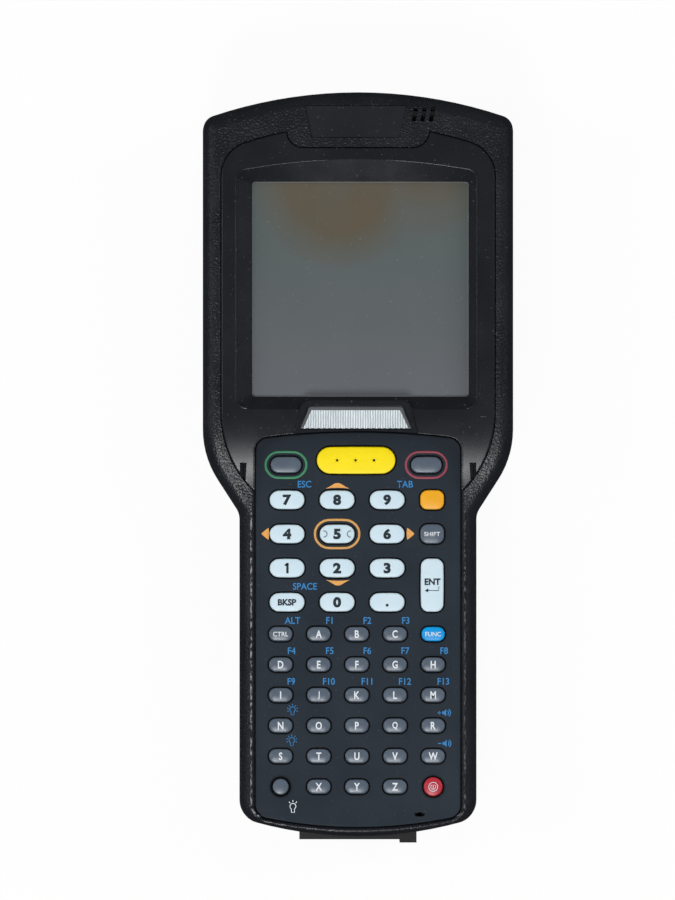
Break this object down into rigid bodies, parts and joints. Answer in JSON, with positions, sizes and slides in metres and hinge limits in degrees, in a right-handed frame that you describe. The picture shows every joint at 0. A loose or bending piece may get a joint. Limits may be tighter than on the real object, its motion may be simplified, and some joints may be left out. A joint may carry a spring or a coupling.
{
  "type": "portable barcode data terminal",
  "caption": "Handheld barcode data terminal: wide head with square touch display, narrower grip with a full keypad, scan window in the top end, clip-in battery in the back.",
  "frame": {"origin": "middle of the outline at the table, the terminal lying on its back", "axes": "+Z out of the display, +Y towards the head, +X to the right of someone reading the keys"},
  "size_m": [0.0804, 0.1942, 0.0373],
  "materials": {
    "housing_black": "fine grain",
    "bezel_black": "satin",
    "panel_grey": "smooth matte",
    "lens_silver": "ribbed",
    "touch_glass": "matte",
    "display_black": "dark",
    "key_white": "satin",
    "key_grey": "satin",
    "key_yellow": "satin",
    "key_amber": "satin",
    "key_blue": "satin",
    "key_crimson": "satin",
    "rubber_dark": "matte",
    "board_green": "satin",
    "steel": "satin",
    "light_alloy": "cast",
    "contact_gold": "bright",
    "plastic_black": "smooth",
    "cell_wrap": "film",
    "window_dark": "polished"
  },
  "bodies": {
    "terminal": {"front_housing": "housing_black", "rear_housing": "housing_black", "display_bezel": "bezel_black", "badge_plate": "bezel_black", "keypad_panel": "panel_grey", "light_bar": "lens_silver", "touch_panel": "touch_glass", "lcd_module": "display_black", "keypad_mat": "rubber_dark", "housing_seal": "rubber_dark", "keypad_board": "board_green", "main_board": "board_green", "keypad_screws": "steel", "housing_screws": "steel", "strap_pin": "steel", "shield_cans": "steel", "key_domes": "steel", "card_socket": "steel", "backup_cell": "steel", "chassis": "light_alloy", "io_contacts": "contact_gold", "battery_contacts": "contact_gold", "antenna": "contact_gold", "io_connector": "plastic_black", "speaker": "plastic_black", "microphone": "plastic_black", "scan_engine": "plastic_black", "scan_window": "window_dark"},
    "battery": {"battery_case": "housing_black", "battery_cells": "cell_wrap", "latch_spring": "steel"},
    "latch": {"battery_latch": "plastic_black"},
    "scan_key_body": {"scan_key": "key_yellow"},
    "key_green_body": {"key_green": "key_grey"},
    "key_red_body": {"key_red": "key_grey"},
    "key_7_body": {"key_7": "key_white"},
    "key_8_body": {"key_8": "key_white"},
    "key_9_body": {"key_9": "key_white"},
    "key_orange_body": {"key_orange": "key_amber"},
    "key_4_body": {"key_4": "key_white"},
    "key_5_body": {"key_5": "key_white"},
    "key_6_body": {"key_6": "key_white"},
    "key_shift_body": {"key_shift": "key_grey"},
    "key_1_body": {"key_1": "key_white"},
    "key_2_body": {"key_2": "key_white"},
    "key_3_body": {"key_3": "key_white"},
    "key_enter_body": {"key_enter": "key_white"},
    "key_backspace_body": {"key_backspace": "key_white"},
    "key_0_body": {"key_0": "key_white"},
    "key_point_body": {"key_point": "key_white"},
    "key_ctrl_body": {"key_ctrl": "key_grey"},
    "key_func_body": {"key_func": "key_blue"},
    "key_light_body": {"key_light": "key_grey"},
    "key_power_body": {"key_power": "key_crimson"},
    "keys_abc_body": {"keys_abc": "key_grey"},
    "keys_d_h_body": {"keys_d_h": "key_grey"},
    "keys_i_m_body": {"keys_i_m": "key_grey"},
    "keys_n_r_body": {"keys_n_r": "key_grey"},
    "keys_s_w_body": {"keys_s_w": "key_grey"},
    "keys_xyz_body": {"keys_xyz": "key_grey"}
  },
  "joints": [
    {"name": "battery_lift", "type": "slide", "parent": "terminal", "child": "battery", "axis": [0, 0, -1], "range_m": [0, 0.025]},
    {"name": "latch_slide", "type": "slide", "parent": "battery", "child": "latch", "axis": [0, 1, 0], "range_m": [0, 0.0025], "stiffness_N_per_m": 400, "springref_m": -0.001},
    {"name": "scan_key_press", "type": "slide", "parent": "terminal", "child": "scan_key_body", "axis": [0, 0, -1], "range_m": [0, 0.0008], "stiffness_N_per_m": 450, "springref_m": -0.0005},
    {"name": "key_green_press", "type": "slide", "parent": "terminal", "child": "key_green_body", "axis": [0, 0, -1], "range_m": [0, 0.0008], "stiffness_N_per_m": 300, "springref_m": -0.0005},
    {"name": "key_red_press", "type": "slide", "parent": "terminal", "child": "key_red_body", "axis": [0, 0, -1], "range_m": [0, 0.0008], "stiffness_N_per_m": 300, "springref_m": -0.0005},
    {"name": "key_7_press", "type": "slide", "parent": "terminal", "child": "key_7_body", "axis": [0, 0, -1], "range_m": [0, 0.0008], "stiffness_N_per_m": 300, "springref_m": -0.0005},
    {"name": "key_8_press", "type": "slide", "parent": "terminal", "child": "key_8_body", "axis": [0, 0, -1], "range_m": [0, 0.0008], "stiffness_N_per_m": 300, "springref_m": -0.0005},
    {"name": "key_9_press", "type": "slide", "parent": "terminal", "child": "key_9_body", "axis": [0, 0, -1], "range_m": [0, 0.0008], "stiffness_N_per_m": 300, "springref_m": -0.0005},
    {"name": "key_orange_press", "type": "slide", "parent": "terminal", "child": "key_orange_body", "axis": [0, 0, -1], "range_m": [0, 0.0008], "stiffness_N_per_m": 300, "springref_m": -0.0005},
    {"name": "key_4_press", "type": "slide", "parent": "terminal", "child": "key_4_body", "axis": [0, 0, -1], "range_m": [0, 0.0008], "stiffness_N_per_m": 300, "springref_m": -0.0005},
    {"name": "key_5_press", "type": "slide", "parent": "terminal", "child": "key_5_body", "axis": [0, 0, -1], "range_m": [0, 0.0008], "stiffness_N_per_m": 300, "springref_m": -0.0005},
    {"name": "key_6_press", "type": "slide", "parent": "terminal", "child": "key_6_body", "axis": [0, 0, -1], "range_m": [0, 0.0008], "stiffness_N_per_m": 300, "springref_m": -0.0005},
    {"name": "key_shift_press", "type": "slide", "parent": "terminal", "child": "key_shift_body", "axis": [0, 0, -1], "range_m": [0, 0.0008], "stiffness_N_per_m": 300, "springref_m": -0.0005},
    {"name": "key_1_press", "type": "slide", "parent": "terminal", "child": "key_1_body", "axis": [0, 0, -1], "range_m": [0, 0.0008], "stiffness_N_per_m": 300, "springref_m": -0.0005},
    {"name": "key_2_press", "type": "slide", "parent": "terminal", "child": "key_2_body", "axis": [0, 0, -1], "range_m": [0, 0.0008], "stiffness_N_per_m": 300, "springref_m": -0.0005},
    {"name": "key_3_press", "type": "slide", "parent": "terminal", "child": "key_3_body", "axis": [0, 0, -1], "range_m": [0, 0.0008], "stiffness_N_per_m": 300, "springref_m": -0.0005},
    {"name": "key_enter_press", "type": "slide", "parent": "terminal", "child": "key_enter_body", "axis": [0, 0, -1], "range_m": [0, 0.0008], "stiffness_N_per_m": 300, "springref_m": -0.0005},
    {"name": "key_backspace_press", "type": "slide", "parent": "terminal", "child": "key_backspace_body", "axis": [0, 0, -1], "range_m": [0, 0.0008], "stiffness_N_per_m": 300, "springref_m": -0.0005},
    {"name": "key_0_press", "type": "slide", "parent": "terminal", "child": "key_0_body", "axis": [0, 0, -1], "range_m": [0, 0.0008], "stiffness_N_per_m": 300, "springref_m": -0.0005},
    {"name": "key_point_press", "type": "slide", "parent": "terminal", "child": "key_point_body", "axis": [0, 0, -1], "range_m": [0, 0.0008], "stiffness_N_per_m": 300, "springref_m": -0.0005},
    {"name": "key_ctrl_press", "type": "slide", "parent": "terminal", "child": "key_ctrl_body", "axis": [0, 0, -1], "range_m": [0, 0.0008], "stiffness_N_per_m": 300, "springref_m": -0.0005},
    {"name": "key_func_press", "type": "slide", "parent": "terminal", "child": "key_func_body", "axis": [0, 0, -1], "range_m": [0, 0.0008], "stiffness_N_per_m": 300, "springref_m": -0.0005},
    {"name": "key_light_press", "type": "slide", "parent": "terminal", "child": "key_light_body", "axis": [0, 0, -1], "range_m": [0, 0.0008], "stiffness_N_per_m": 300, "springref_m": -0.0005},
    {"name": "key_power_press", "type": "slide", "parent": "terminal", "child": "key_power_body", "axis": [0, 0, -1], "range_m": [0, 0.0008], "stiffness_N_per_m": 300, "springref_m": -0.0005},
    {"name": "keys_abc_press", "type": "slide", "parent": "terminal", "child": "keys_abc_body", "axis": [0, 0, -1], "range_m": [0, 0.0008], "stiffness_N_per_m": 450, "springref_m": -0.0005},
    {"name": "keys_d_h_press", "type": "slide", "parent": "terminal", "child": "keys_d_h_body", "axis": [0, 0, -1], "range_m": [0, 0.0008], "stiffness_N_per_m": 450, "springref_m": -0.0005},
    {"name": "keys_i_m_press", "type": "slide", "parent": "terminal", "child": "keys_i_m_body", "axis": [0, 0, -1], "range_m": [0, 0.0008], "stiffness_N_per_m": 450, "springref_m": -0.0005},
    {"name": "keys_n_r_press", "type": "slide", "parent": "terminal", "child": "keys_n_r_body", "axis": [0, 0, -1], "range_m": [0, 0.0008], "stiffness_N_per_m": 450, "springref_m": -0.0005},
    {"name": "keys_s_w_press", "type": "slide", "parent": "terminal", "child": "keys_s_w_body", "axis": [0, 0, -1], "range_m": [0, 0.0008], "stiffness_N_per_m": 450, "springref_m": -0.0005},
    {"name": "keys_xyz_press", "type": "slide", "parent": "terminal", "child": "keys_xyz_body", "axis": [0, 0, -1], "range_m": [0, 0.0008], "stiffness_N_per_m": 450, "springref_m": -0.0005}
  ]
}
